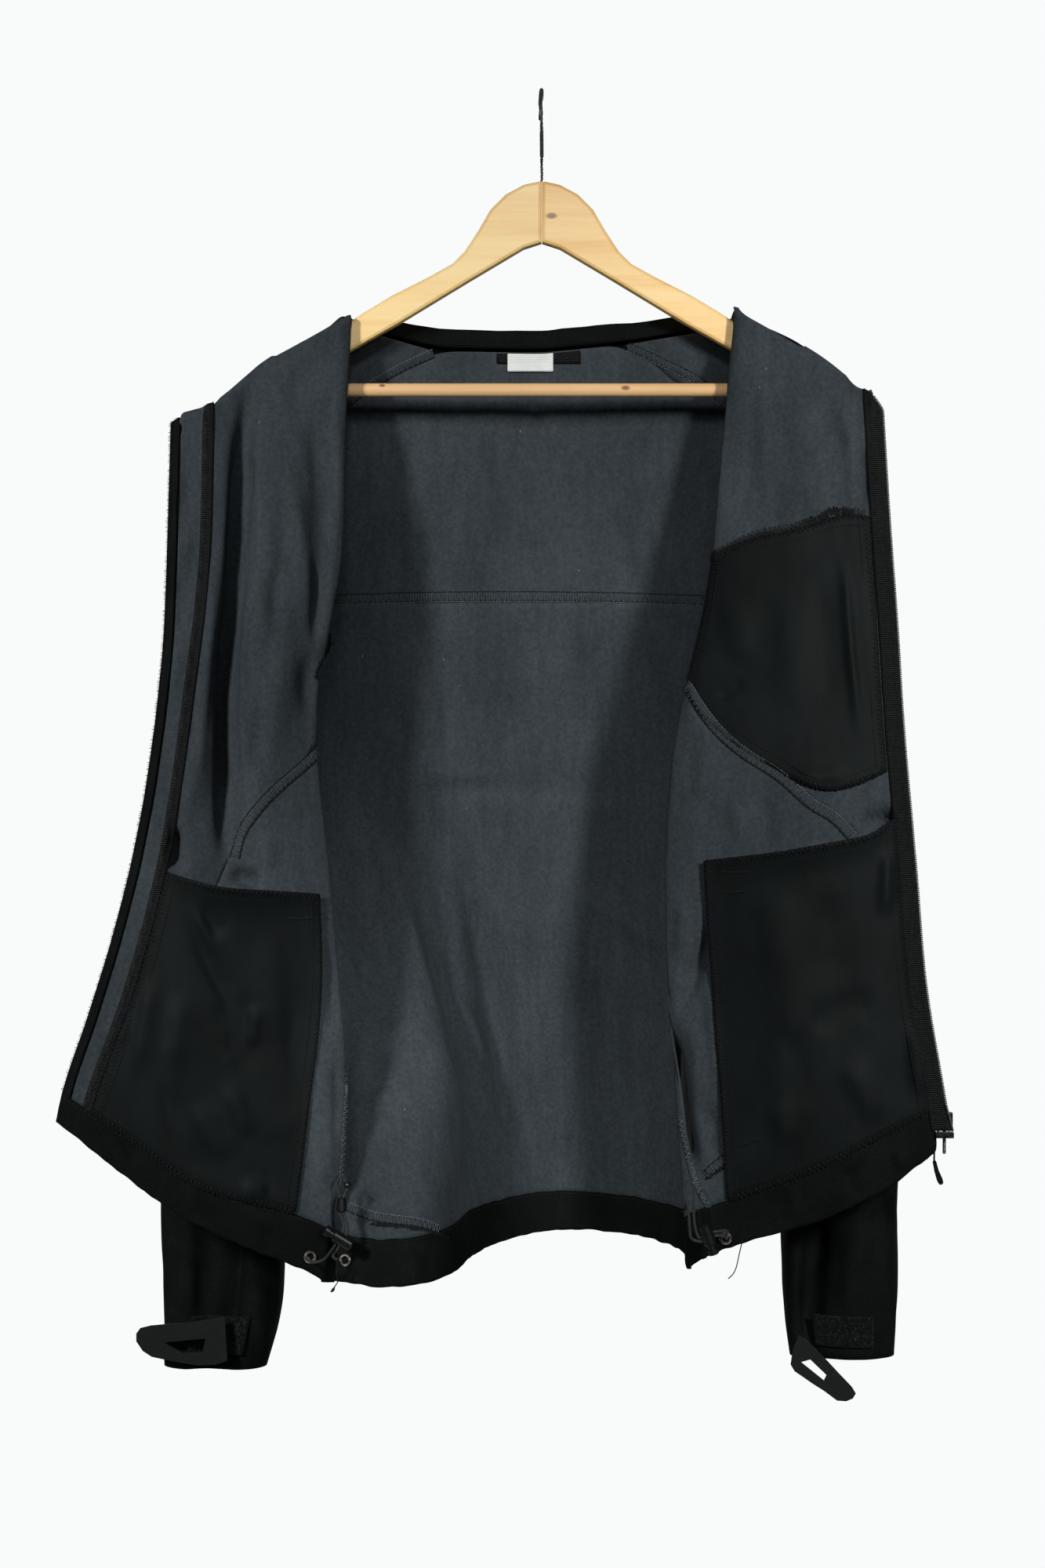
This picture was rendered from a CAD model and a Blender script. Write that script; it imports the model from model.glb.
# %% [markdown]
# # A softshell jacket, hung wide open on a wooden hanger
#
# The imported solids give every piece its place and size. This lesson dresses them: each coarse cloth
# solid becomes a fine sheet with creases, and seams, stitches, zip teeth, wood and metal are made on
# top of it. Everything is in metres, in the frame of the solids, with +Z up and the viewer at -Y.

# %% Load the solids
import math

import bmesh
import bpy
import numpy as np
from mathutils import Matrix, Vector, noise
from mathutils.bvhtree import BVHTree
from mathutils.kdtree import KDTree


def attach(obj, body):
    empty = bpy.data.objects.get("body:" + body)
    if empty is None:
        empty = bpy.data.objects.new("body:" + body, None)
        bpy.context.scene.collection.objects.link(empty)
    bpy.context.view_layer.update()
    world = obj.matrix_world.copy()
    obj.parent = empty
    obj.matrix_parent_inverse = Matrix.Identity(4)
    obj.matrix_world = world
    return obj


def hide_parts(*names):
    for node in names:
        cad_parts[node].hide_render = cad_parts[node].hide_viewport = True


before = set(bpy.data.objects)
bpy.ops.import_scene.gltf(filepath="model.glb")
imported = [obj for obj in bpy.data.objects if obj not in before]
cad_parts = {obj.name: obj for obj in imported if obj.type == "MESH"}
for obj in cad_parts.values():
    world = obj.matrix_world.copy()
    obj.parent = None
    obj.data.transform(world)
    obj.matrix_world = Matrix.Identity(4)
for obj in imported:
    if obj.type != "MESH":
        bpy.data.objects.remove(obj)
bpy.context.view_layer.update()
MM = 0.001

# %% [markdown]
# ## The camera
#
# The picture was taken straight on, from about chest height and a little over two metres away. The
# camera looks level along +Y, so upright lines stay upright. Its lens follows from how much of the
# world one pixel covers at the hanger's plane.

# %% Set up the camera
PICTURE = (1333, 2000)
PIXEL = 0.61 * MM  # what one pixel covers in the plane y = 0
CAMERA_AT = Vector((-0.015, -2.2, -0.538))
SENSOR = 36.0


def link(name, data):
    """A new object in the scene that shows this data."""
    obj = bpy.data.objects.new(name, data)
    bpy.context.scene.collection.objects.link(obj)
    return obj


camera_data = bpy.data.cameras.new("camera")
camera_data.sensor_fit = "VERTICAL"
camera_data.sensor_height = SENSOR
camera_data.lens = SENSOR * -CAMERA_AT.y / (PICTURE[1] * PIXEL)
camera = link("camera", camera_data)
camera.location = CAMERA_AT
camera.rotation_euler = (math.pi / 2, 0, 0)
bpy.context.scene.camera = camera
bpy.context.scene.view_settings.view_transform = "Standard"
print(f"lens {camera_data.lens:.1f} mm")


# %% Go from the picture to the cloth and back
def picture_place(points):
    """The pixels at which the camera sees these points (an array of x, y, z)."""
    scale = -CAMERA_AT.y / (points[:, 1] - CAMERA_AT.y) / PIXEL
    across = PICTURE[0] / 2 + (points[:, 0] - CAMERA_AT.x) * scale
    down = PICTURE[1] / 2 - (points[:, 2] - CAMERA_AT.z) * scale
    return np.stack([across, down], axis=1)


def sight_line(pixel):
    """The direction in which the camera sees a pixel."""
    across, up = (pixel[0] - PICTURE[0] / 2) * PIXEL, (PICTURE[1] / 2 - pixel[1]) * PIXEL
    return Vector((across, -CAMERA_AT.y, up)).normalized()


def path(places):
    """A line of places written as "across,down across,down", or with three numbers each."""
    return [tuple(map(float, place.split(","))) for place in places.split()]


# %% [markdown]
# ## Colours and nodes
#
# A hex colour is written in sRGB, and the shaders want linear light, so one function converts it.
# Another adds a shader node with its settings and links in one line.


# %% Helpers for materials
def linear(hex_colour):
    """An sRGB hex colour as linear RGBA."""
    channels = [int(hex_colour[i : i + 2], 16) / 255 for i in (1, 3, 5)]
    return *(c / 12.92 if c <= 0.04045 else ((c + 0.055) / 1.055) ** 2.4 for c in channels), 1.0


def add_node(tree, kind, inputs=None, **settings):
    """A node with its settings. An input is given a value, a socket, or a node for its first output."""
    node = tree.nodes.new(kind)
    for name, value in settings.items():
        setattr(node, name, value)
    for key, value in (inputs or {}).items():
        if isinstance(value, bpy.types.Node):
            value = value.outputs[0]
        if isinstance(value, bpy.types.NodeSocket):
            tree.links.new(value, node.inputs[key])
        else:
            node.inputs[key].default_value = value
    return node


def new_finish(name, **constants):
    """An empty material: its tree, its shader with these constants, and object coordinates."""
    material = bpy.data.materials.new(name)
    material.use_nodes = True
    tree = material.node_tree
    tree.nodes.clear()
    shader = add_node(tree, "ShaderNodeBsdfPrincipled")
    add_node(tree, "ShaderNodeOutputMaterial", {"Surface": shader})
    for socket, value in constants.items():
        shader.inputs[socket.replace("_", " ")].default_value = value
    return material, tree, shader, add_node(tree, "ShaderNodeTexCoord").outputs["Object"]


def stretched(tree, place, scale, turn=0.0):
    """Coordinates turned about Y and squeezed along some axes, so that a pattern runs long there."""
    inputs = {"Vector": place, "Scale": scale, "Rotation": (0, turn, 0)}
    return add_node(tree, "ShaderNodeMapping", inputs).outputs["Vector"]


def grain(tree, place, size, detail=2.0, roughness=0.55):
    """Noise with features of about this size in metres."""
    inputs = {"Vector": place, "Scale": 0.5 / size, "Detail": detail, "Roughness": roughness}
    return add_node(tree, "ShaderNodeTexNoise", inputs).outputs["Fac"]


def calc(tree, operation, *values):
    return add_node(tree, "ShaderNodeMath", dict(enumerate(values)), operation=operation).outputs[0]


def mix_of(tree, first, share, second):
    """This share of one pattern and the rest of another."""
    return calc(tree, "MULTIPLY_ADD", first, share, calc(tree, "MULTIPLY", second, 1 - share))


def specks(tree, place, scale, width, strength):
    """Scattered specks: `strength` inside one, 0 outside."""
    cells = add_node(tree, "ShaderNodeTexVoronoi", {"Vector": place, "Scale": scale})
    inside = calc(tree, "LESS_THAN", cells.outputs["Distance"], width)
    return calc(tree, "MULTIPLY", inside, strength)


def shades(tree, factor, *stops):
    """A colour ramp: (position, hex colour), from dark to light."""
    ramp = add_node(tree, "ShaderNodeValToRGB", {"Fac": factor})
    elements = ramp.color_ramp.elements
    while len(elements) < len(stops):
        elements.new(0.5)
    for element, (position, colour) in zip(elements, stops):
        element.position = position
        element.color = linear(colour)
    return ramp.outputs["Color"]


def blend_colours(tree, factor, first, hex_colour):
    inputs = {0: factor, 6: first, 7: linear(hex_colour)}
    return add_node(tree, "ShaderNodeMix", inputs, data_type="RGBA").outputs[2]


def dress(tree, shader, colour, height, strength, distance):
    """Gives the shader its colour and a fine relief."""
    inputs = {"Height": height, "Strength": strength, "Distance": distance}
    bump = add_node(tree, "ShaderNodeBump", inputs)
    tree.links.new(bump.outputs["Normal"], shader.inputs["Normal"])
    tree.links.new(colour, shader.inputs["Base Color"])


def make_finish(name, pattern, tones, relief, **constants):
    """A finish from a pattern, which gives the place on the colour ramp and the relief's height."""
    material, tree, shader, place = new_finish(name, **constants)
    factor, height = pattern(tree, place)
    dress(tree, shader, shades(tree, factor, *tones), height, *relief)
    return material


# %% [markdown]
# ## Finishes of the cloth
#
# The inside of the jacket is slate-grey microfleece: short brushed fibres that scatter light softly,
# with a fine mottled grain and large faint patches where the pile was stroked one way or the other.
# The face is black softshell, smooth and matt. The pocket bags are black twill, a little shinier,
# with diagonal ribs. The real ribs and fibres are 0.3 to 0.5 mm apart, too fine to show, so they are
# drawn two to three times as coarse.

# %% Microfleece and softshell
FLEECE_GRAIN = 1.5 * MM  # fibre clumps
STROKED_PATCH = 26 * MM  # areas where the pile lies one way
STREAK = 3.5 * MM


def make_fleece(name, low, middle, high):
    material, tree, shader, place = new_finish(
        name,
        Roughness=0.95,
        Specular_IOR_Level=0.05,
        Sheen_Weight=0.05,
        Sheen_Roughness=0.5,
        Sheen_Tint=linear("#9aa7b4"),
    )
    pile = grain(tree, place, FLEECE_GRAIN, detail=3.0)
    patch = grain(tree, stretched(tree, place, (1, 1, 0.35)), STROKED_PATCH, detail=3.0)
    streak = grain(tree, stretched(tree, place, (1, 1, 0.12)), STREAK)
    mixed = mix_of(tree, pile, 0.55, patch)
    mixed = calc(tree, "MULTIPLY_ADD", calc(tree, "SUBTRACT", streak, 0.5), 0.25, mixed)
    colour = shades(tree, mixed, (0.30, low), (0.5, middle), (0.72, high))
    lint = specks(tree, stretched(tree, place, (1, 1, 0.5)), 42.0, 0.022, 0.35)
    colour = blend_colours(tree, lint, colour, "#9a9f9c")
    dress(tree, shader, colour, pile, 0.45, 0.5 * MM)
    return material


def softshell(tree, place):
    weave = grain(tree, place, 0.9 * MM, detail=1.0)
    return mix_of(tree, weave, 0.4, grain(tree, place, 18 * MM, detail=4.0)), weave


FLEECE = make_fleece("slate microfleece, brushed", "#2a3033", "#353b3f", "#41474b")
FLEECE_SEAM = make_fleece("slate microfleece, pressed seam", "#262b2e", "#2f3538", "#3b4144")
SHELL = make_finish(
    "black softshell face, matt", softshell, ((0.3, "#070a09"), (0.55, "#0d1110"), (0.8, "#151a18")),
    (0.25, 0.3 * MM), Roughness=0.78, Specular_IOR_Level=0.05,
)  # fmt: skip

# %% Twill, tape, label and loop pile
TWILL_RIB = 1.3 * MM
TAPE_RIB = 1.6 * MM
LABEL_WEFT = 1.1 * MM


def ribs(tree, place, spacing, turn=0.0, direction="X"):
    """Parallel ribs at a spacing in metres, turned about Y by this many degrees."""
    inputs = {
        "Vector": stretched(tree, place, (1, 1, 1), math.radians(turn)),
        "Scale": math.pi / (10 * spacing),  # the texture's own period is a twentieth of 2 pi
        "Distortion": 0.6,
        "Detail": 1.0,
        "Detail Scale": 2.0,
    }
    return add_node(tree, "ShaderNodeTexWave", inputs, bands_direction=direction).outputs["Fac"]


def twill(tree, place):
    rib = ribs(tree, place, TWILL_RIB, 35)
    worn = grain(tree, stretched(tree, place, (1, 1, 0.5)), 22 * MM, detail=4.0)
    return mix_of(tree, rib, 0.35, worn), rib


def tape(tree, place):
    rib = ribs(tree, place, TAPE_RIB, direction="Z")
    factor = mix_of(tree, rib, 0.5, grain(tree, place, 1.0 * MM, detail=1.0))
    return factor, factor


def label(tree, place):
    weft = ribs(tree, place, LABEL_WEFT, direction="Z")
    return mix_of(tree, weft, 0.3, grain(tree, place, 7 * MM, detail=3.0)), weft


def loop_pile(tree, place):
    loops = grain(tree, place, 1.0 * MM, detail=3.0, roughness=0.7)
    return loops, loops


def twist(tree, place):
    strands = grain(tree, place, 0.5 * MM, detail=1.0)
    return strands, strands


def make_thread(name, dark, light):
    """Spun polyester sewing thread, seen as a fine twist."""
    tones, relief = ((0.35, dark), (0.65, light)), (0.3, 0.1 * MM)
    return make_finish(name, twist, tones, relief, Roughness=0.65, Specular_IOR_Level=0.18)


TWILL = make_finish(
    "black twill pocket bag", twill, ((0.3, "#090c0c"), (0.5, "#0d1111"), (0.75, "#181d1d")),
    (0.3, 0.25 * MM), Roughness=0.6, Specular_IOR_Level=0.08,
)  # fmt: skip
TAPE = make_finish(
    "black woven polyester tape", tape, ((0.3, "#0b0c0c"), (0.55, "#151616"), (0.8, "#252626")),
    (0.4, 0.4 * MM), Roughness=0.8, Specular_IOR_Level=0.06,
)  # fmt: skip
LABEL = make_finish(
    "off-white woven label", label, ((0.25, "#c8ccc9"), (0.5, "#e0e4e1"), (0.8, "#eff2ef")),
    (0.2, 0.2 * MM), Roughness=0.75, Specular_IOR_Level=0.3,
)  # fmt: skip
LOOP_PILE = make_finish(
    "black knitted loop pile", loop_pile, ((0.3, "#070909"), (0.52, "#0e1111"), (0.72, "#272c2b")),
    (0.9, 1.0 * MM), Roughness=0.9, Specular_IOR_Level=0.05, Sheen_Weight=0.04,
)  # fmt: skip
THREAD_GREY = make_thread("grey sewing thread", "#50575b", "#747b80")
THREAD_SLATE = make_thread("slate sewing thread", "#3a4145", "#565e63")
THREAD_BLACK = make_thread("black sewing thread", "#0c0e0e", "#1a1e1e")
ZIP_NYLON = make_thread("black nylon zip coil", "#101111", "#2c2e2e")

# %% [markdown]
# ## Finishes of the hard pieces
#
# The hanger is varnished beech: warm yellow, with long faint grain lines and the short dark flecks
# that mark beech. Its two arms come from different boards, so one is paler. The bar is a turned rod
# of raw beech. The hook is bright chrome, the eyelets are nickel, and the cord locks are black
# acetal, a plastic that is smooth and slightly waxy.


# %% Wood
def make_beech(name, tilt, pale, middle, deep, roughness, coat, knots=()):
    """Beech with its grain running along a direction tilted by this angle from the X axis."""
    material, tree, shader, place = new_finish(
        name, Roughness=roughness, Specular_IOR_Level=0.45, Coat_Weight=coat, Coat_Roughness=0.28
    )

    def along(squeeze):
        return stretched(tree, place, (squeeze, 1, 1), tilt)

    def shift(operation, vector, by):
        return add_node(tree, "ShaderNodeVectorMath", {0: vector, 1: by}, operation=operation)

    figure = grain(tree, along(0.07), 7 * MM, detail=4.0, roughness=0.6)
    fine = grain(tree, along(0.05), 1.2 * MM)
    colour = shades(tree, mix_of(tree, figure, 0.75, fine), (0.28, deep), (0.5, middle), (0.72, pale))
    ray_flecks = specks(tree, along(0.22), 260.0, 0.16, 0.22)  # short darker dashes
    colour = blend_colours(tree, ray_flecks, colour, deep)
    for x, z, size in knots:
        oval = shift("MULTIPLY", shift("SUBTRACT", place, (x, 0, z)), (0.55, 0, 1))
        near = shift("LENGTH", oval, (0, 0, 0)).outputs["Value"]
        ring = calc(tree, "MULTIPLY_ADD", calc(tree, "SUBTRACT", figure, 0.5), size, near)
        inputs = {0: ring, 1: size * 0.5, 2: size * 1.1, 3: 0.85, 4: 0.0}
        colour = blend_colours(tree, add_node(tree, "ShaderNodeMapRange", inputs), colour, "#6b3f16")
    dress(tree, shader, colour, fine, 0.12, 0.2 * MM)
    return material


GRAIN_TILT = math.radians(27)
VARNISHED = (0.42, 0.2)  # roughness and coat
RAW = (0.7, 0.0)
BEECH_LEFT = make_beech(
    "beech board, varnished", -GRAIN_TILT, "#fbdd9c", "#f9d68f", "#f0c377", *VARNISHED
)
BEECH_RIGHT = make_beech(
    "beech board, redder, varnished", GRAIN_TILT, "#fad997", "#f6cd84", "#e9b566", *VARNISHED,
    knots=[(0.0075, -0.097, 2.6 * MM)],
)  # fmt: skip
RAW_BEECH = make_beech(
    "turned beech rod, raw", 0.0, "#edc592", "#e2b681", "#cfa26c", *RAW,
    knots=[(-0.124, -0.2285, 1.6 * MM), (0.065, -0.2305, 2.2 * MM)],
)  # fmt: skip


# %% Metal, plastic and rubber
def make_hard(name, dark, light, roughness, size, rubbed, relief, **constants):
    """Metal or moulded plastic: one noise varies its tone, its roughness (`rubbed`) and its height."""
    material, tree, shader, place = new_finish(name, Roughness=roughness, **constants)
    skin = grain(tree, place, size, detail=3.0)
    spread = {0: skin, 3: roughness * rubbed[0], 4: roughness * rubbed[1]}
    rough = add_node(tree, "ShaderNodeMapRange", spread).outputs[0]
    tree.links.new(rough, shader.inputs["Roughness"])
    dress(tree, shader, shades(tree, skin, (0.3, dark), (0.7, light)), skin, *relief)
    return material


def make_metal(name, dark, light, roughness, size):
    return make_hard(name, dark, light, roughness, size, (0.7, 1.4), (0.08, 0.1 * MM), Metallic=1.0)


def make_plastic(name, dark, light, roughness, size, strength, specular):
    rubbed, relief = (0.8, 1.25), (strength, 0.15 * MM)
    return make_hard(
        name, dark, light, roughness, size, rubbed, relief, Specular_IOR_Level=specular
    )


def braid(tree, place):
    """Crossing strands, seen as small slanting ribs."""
    strands = calc(tree, "MULTIPLY", *[ribs(tree, place, 1.4 * MM, turn) for turn in (45, -45)])
    return strands, strands


CHROME = make_metal("chromed steel wire", "#b8babd", "#e6e7e8", 0.12, 2.0 * MM)
ZIP_METAL = make_metal("gunmetal zip casting", "#0d0e0e", "#3a3a37", 0.38, 1.0 * MM)
NICKEL = make_metal("nickel-plated brass", "#8d8b84", "#c9c6bd", 0.28, 0.9 * MM)
ACETAL = make_plastic("black acetal, moulded", "#08090a", "#121314", 0.3, 1.2 * MM, 0.08, 0.35)
RUBBER = make_plastic("charcoal rubber, moulded", "#161a18", "#1f2220", 0.78, 0.8 * MM, 0.35, 0.07)
CORD = make_finish(
    "black braided cord", braid, ((0.1, "#0a0b0b"), (0.5, "#171919"), (0.9, "#2b2e2e")),
    (0.5, 0.3 * MM), Roughness=0.6, Specular_IOR_Level=0.4, Sheen_Weight=0.15,
)  # fmt: skip
print(f"{len(bpy.data.materials)} finishes")

# %% [markdown]
# ## The two hem drawcords
#
# A 2 mm elastic cord runs inside the hem. At each side it comes out, goes through a spring cord lock,
# stands up as a loop and goes back in. The routes are the ones the solids were made on, in
# millimetres. A curve with a round bevel follows each.

# %% Lay the drawcords
CORD_WIDTH = 2.0
CORD_ROUTES = {
    "left": path(
        "-176,-81.5,-893 -172,-93,-894.5 -163,-93,-892 -155.8,-84,-883.9 -154,-84,-880.9 "
        "-150.4,-84,-874.9 -148.6,-84,-871.9 -149.6,-83,-865 -151.9,-82,-859 -151.9,-82,-853 "
        "-151.9,-82,-847 -154.3,-81,-838.5 -150.3,-81,-831.5 -146.3,-81,-838 -146.3,-81,-841 "
        "-149.1,-82,-847.5 -149.1,-82,-853 -149.1,-82,-859 -146.6,-83,-866 -146,-84,-873.5 "
        "-147.8,-84,-876.5 -151.4,-84,-882.5 -153.2,-84,-885.5 -157,-80,-891.5 -155.5,-69,-896.5"
    ),
    "right": path(
        "135.5,-79,-877.5 136,-88,-875.5 130.3,-92,-874.5 127,-92,-875.6 120.4,-92,-878 "
        "117.1,-92,-879.1 110.8,-91.5,-876.5 109.6,-91,-868 108.2,-90,-852 105.2,-89,-841 "
        "109.2,-89,-834.5 113.2,-89,-841 112.6,-90,-852 113.4,-91,-866 116.1,-92,-875.6 "
        "119.4,-92,-875.2 126,-92,-872.8 129.3,-92,-871.7 137.5,-88,-872 138,-79,-879"
    ),
}
CORD_STEPS = 6  # pieces between two route points


def smooth_route(points, steps):
    """Points on a smooth curve through the given ones."""
    points = np.asarray(points, float)
    padded = np.concatenate([[2 * points[0] - points[1]], points, [2 * points[-1] - points[-2]]])
    made = []
    for before, start, end, after in zip(padded, padded[1:], padded[2:], padded[3:]):
        bend = 2 * before - 5 * start + 4 * end - after
        turn = 3 * start - before - 3 * end + after
        for t in np.arange(steps) / steps:
            made.append(0.5 * (2 * start + (end - before) * t + bend * t**2 + turn * t**3))
    return np.array([*made, points[-1]])


def round_curve(name, points, width, finish, widths=None):
    """A round cord through these points, in metres."""
    data = bpy.data.curves.new(name, "CURVE")
    data.dimensions = "3D"
    spline = data.splines.new("POLY")
    spline.points.add(len(points) - 1)
    for i, (target, point) in enumerate(zip(spline.points, points)):
        target.co = (*point, 1)
        target.radius = 1.0 if widths is None else widths[i]
    data.bevel_depth = width / 2
    data.bevel_resolution = 4
    data.use_fill_caps = True
    data.materials.append(finish)
    return link(name, data)


def length_of(points):
    return float(np.linalg.norm(np.diff(points, axis=0), axis=1).sum())


for side, route in CORD_ROUTES.items():
    line = smooth_route(route, CORD_STEPS) * MM
    cord = round_curve(f"drawcord_loop_{side}", line, CORD_WIDTH * MM, CORD)
    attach(cord, "jacket")
    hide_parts(f"drawcord_{side}")
    print(f"{side} drawcord: {length_of(line):.3f} m")

# %% [markdown]
# ## Cloth: from a coarse solid to a fine sheet
#
# A cloth solid has two faces a wall apart and a rim round them. To make it fine, one face is taken
# off as an open sheet, its triangles are joined to quads and it is subdivided, so that it becomes
# smooth while its border stays where it is. Creases are pushed into it, and a Solidify modifier gives
# the wall back. Subdividing the closed solid instead would round its rim and open every seam.

# %% Take one face off a solid
RIM_ANGLE = math.radians(50)
WALL_SLIP = 0.02  # how far an edge's length may be from the wall's, as a share of it
WELD = 0.03 * MM
LONG_EDGE = 45 * MM  # longer edges are cut once, so that the fine cells come out nearly square


def islands(sheet):
    """The groups of faces that hang together."""
    left, found = set(sheet.faces), []
    while left:
        group = [left.pop()]
        for face in group:
            for edge in face.edges:
                for other in edge.link_faces:
                    if other in left:
                        left.discard(other)
                        group.append(other)
        found.append(group)
    return found


def drop_rim(sheet, wall):
    """Deletes the faces that join the two sides: each holds an edge as long as the wall."""
    sharp = {e for e in sheet.edges if len(e.link_faces) == 2 and e.calc_face_angle() > RIM_ANGLE}
    count = {v: sum(e in sharp for e in v.link_edges) for v in sheet.verts}
    across = set()
    for edge in sheet.edges:
        least = min(count[v] for v in edge.verts)
        long_as_wall = abs(edge.calc_length() / wall - 1) < WALL_SLIP
        if long_as_wall and least > 0 and (edge not in sharp or least > 2):
            across.add(edge)
    rim = [f for f in sheet.faces if any(e in across for e in f.edges)]
    bmesh.ops.delete(sheet, geom=rim, context="FACES")


def seen_face(node, wall, tube):
    """The face of a cloth solid that looks towards the viewer (a tube's outer one), as quads."""
    sheet = bmesh.new()
    sheet.from_mesh(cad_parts[node].data)
    bmesh.ops.remove_doubles(sheet, verts=sheet.verts, dist=WELD)
    drop_rim(sheet, wall)

    def worth(group):
        return sum(f.calc_area() * (1 if tube else -f.normal.y) for f in group)

    keep = set(max(islands(sheet), key=worth))
    bmesh.ops.delete(sheet, geom=[f for f in sheet.faces if f not in keep], context="FACES")
    bmesh.ops.join_triangles(
        sheet,
        faces=sheet.faces,
        angle_face_threshold=math.radians(70),
        angle_shape_threshold=math.radians(120),
        topology_influence=1.0,
    )
    long_edges = [e for e in sheet.edges if e.calc_length() > LONG_EDGE]
    bmesh.ops.subdivide_edges(sheet, edges=long_edges, cuts=1)
    return sheet


def evaluated(obj, name):
    """The object's mesh with its modifiers applied. The object itself is removed."""
    graph = bpy.context.evaluated_depsgraph_get()
    made = bpy.data.meshes.new_from_object(obj.evaluated_get(graph))
    bpy.data.objects.remove(obj)
    made.name = name
    return made


def subdivided(name, sheet, levels):
    """The sheet as a smooth fine mesh whose border stays where it is."""
    mesh = bpy.data.meshes.new(name)
    sheet.to_mesh(mesh)
    sheet.free()
    obj = link(name, mesh)
    modifier = obj.modifiers.new("smooth", "SUBSURF")
    modifier.levels = modifier.render_levels = levels
    modifier.boundary_smooth = "PRESERVE_CORNERS"
    return evaluated(obj, name)


def rows_of(items, name, width=3, kind=float):
    """One attribute of every item, a row for each."""
    values = np.empty(len(items) * width, kind)
    items.foreach_get(name, values)
    return values.reshape(-1, width)


def points_and_normals(mesh):
    return rows_of(mesh.vertices, "co"), rows_of(mesh.vertex_normals, "vector")


# %% [markdown]
# ## Creases
#
# Cloth that hangs folds where it is held and pulled. The creases below were read off the picture, so
# each is a line of its pixels, with a width and a depth in millimetres. Every fine vertex knows the
# pixel at which the camera sees it, so it finds its distance to each line there and moves along its
# own normal: out for a ridge, in for a valley. A row is width, depth and skew, which makes one flank
# wider than the other, and then the pixels.


# %% Creases read off the picture
def creases(table):
    rows = [row.split("|") for row in table.strip().splitlines()]
    return [(path(line), *map(float, shape.split())) for shape, line in rows]


PX = PIXEL / MM  # millimetres to a pixel
BACK_CREASES = creases("""
7 -1.6 1.5 | 499,554 512,590 521,640
4 -1.8 2.0 | 530,672 541,705 547,728 549,748
9 1.2 1.4 | 590,520 597,610 594,700 600,750
8 -1.1 1.6 | 624,560 640,640 646,745
5 -1.3 1.6 | 677,505 681,530 690,560
9 1.1 1.0 | 700,560 690,650 672,750
10 -1.0 1.5 | 735,520 745,600 738,700
5 -1.6 2.0 | 781,640 788,700 795,752
9 1.2 1.2 | 840,560 826,640 820,740
6 1.0 1.5 | 560,640 570,700 566,752
9 -2.0 1.6 | 535,775 560,850 575,930 566,990
8 1.3 1.3 | 600,775 604,850 612,920
6 1.8 1.5 | 702,800 700,850 694,930 700,985
9 -1.2 1.5 | 745,790 750,870 742,960
9 -1.0 1.5 | 655,780 650,860 660,960
7 -1.7 2.2 | 500,1000 560,1008 640,1006 720,1013 835,1010
6 0.9 1.0 | 520,985 590,990 660,988
6 -1.2 1.5 | 545,1040 580,1075 600,1100
8 -3.0 1.6 | 446,1139 460,1172 472,1202 497,1236
7 -2.6 1.4 | 452,1236 470,1262 486,1288 512,1316
7 -2.2 1.6 | 466,1330 480,1362 484,1400
9 2.2 1.2 | 470,1060 492,1110 512,1160 530,1230
10 -7.0 1.4 | 585,1060 604,1150 622,1240 638,1340 652,1440 660,1520
26 8.5 0.5 | 470,1040 500,1150 524,1250 545,1350 560,1450 572,1600
7 2.6 1.0 | 568,1236 590,1285 611,1330 648,1404
8 -2.2 1.5 | 540,1060 560,1130 572,1200 588,1290
10 2.0 1.2 | 520,1300 540,1380 552,1450
14 1.6 1.0 | 700,1120 706,1230 696,1340
14 -1.6 1.4 | 770,1100 764,1220 772,1350
8 1.8 1.2 | 640,1430 652,1470 668,1500
8 -1.4 1.3 | 726,1440 722,1480 728,1512
8 1.4 1.3 | 812,1410 806,1460 812,1520
8 -1.6 1.4 | 498,1440 506,1490 500,1530
4 -4.6 1.4 | 440,1230 443,1310 442,1400 438,1480 434,1540
""")
LEFT_CREASES = creases("""
6 -1.6 1.8 | 404,446 394,468 372,496 356,508
6 1.8 1.4 | 345,552 330,570 313,592
8 -2.1 1.5 | 392,520 404,560 409,612 411,660 412,712
7 2.0 1.2 | 372,600 376,640 386,700 390,760 393,800
5 -1.8 1.4 | 352,715 346,760 347,800
5 1.8 1.2 | 340,740 335,790 328,840
8 1.6 1.6 | 366,800 358,860 342,930 332,980
7 -1.6 1.5 | 395,820 392,880 396,930
6 -1.5 1.5 | 340,880 326,950 306,1020
5 -1.4 1.5 | 246,600 238,630 224,668
5 1.2 1.2 | 243,670 234,700 226,730
5 -1.1 1.4 | 240,730 228,770
6 1.3 1.4 | 236,800 222,850 214,900
7 1.3 1.0 | 288,560 284,640 281,720 272,800 262,880
8 1.5 1.4 | 318,530 330,560 334,620 326,700
6 1.0 1.0 | 432,470 428,540 430,640 424,730
5 -5.8 1.8 | 328,458 319,490 309,560 303,640 296,720 292,800
5 -6.5 1.4 | 221,1050 222,1080 224,1114
5 -6.0 1.4 | 288,1112 308,1120 336,1129
5.5 -6.8 1.8 | 306,690 296,760 290,830 288,900 287,980 287,1060 292,1130
6 2.6 1.0 | 330,700 316,780 308,860 306,940 306,1020
5 1.6 1.0 | 272,690 268,780 262,860 256,940 252,1020
6 -1.6 1.5 | 360,640 358,720 364,800
4.5 -2.2 1.5 | 400,700 404,760 403,830
7 1.5 1.3 | 256,930 249,990 240,1050
5 1.4 1.4 | 342,1062 340,1085 343,1108
5 -1.6 1.5 | 418,1190 424,1260 426,1330
6 1.8 1.3 | 411,1420 417,1470 413,1520
5 -1.6 1.3 | 428,1340 432,1400 430,1460
6 1.6 1.3 | 141,1340 152,1310 160,1270
""")
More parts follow.
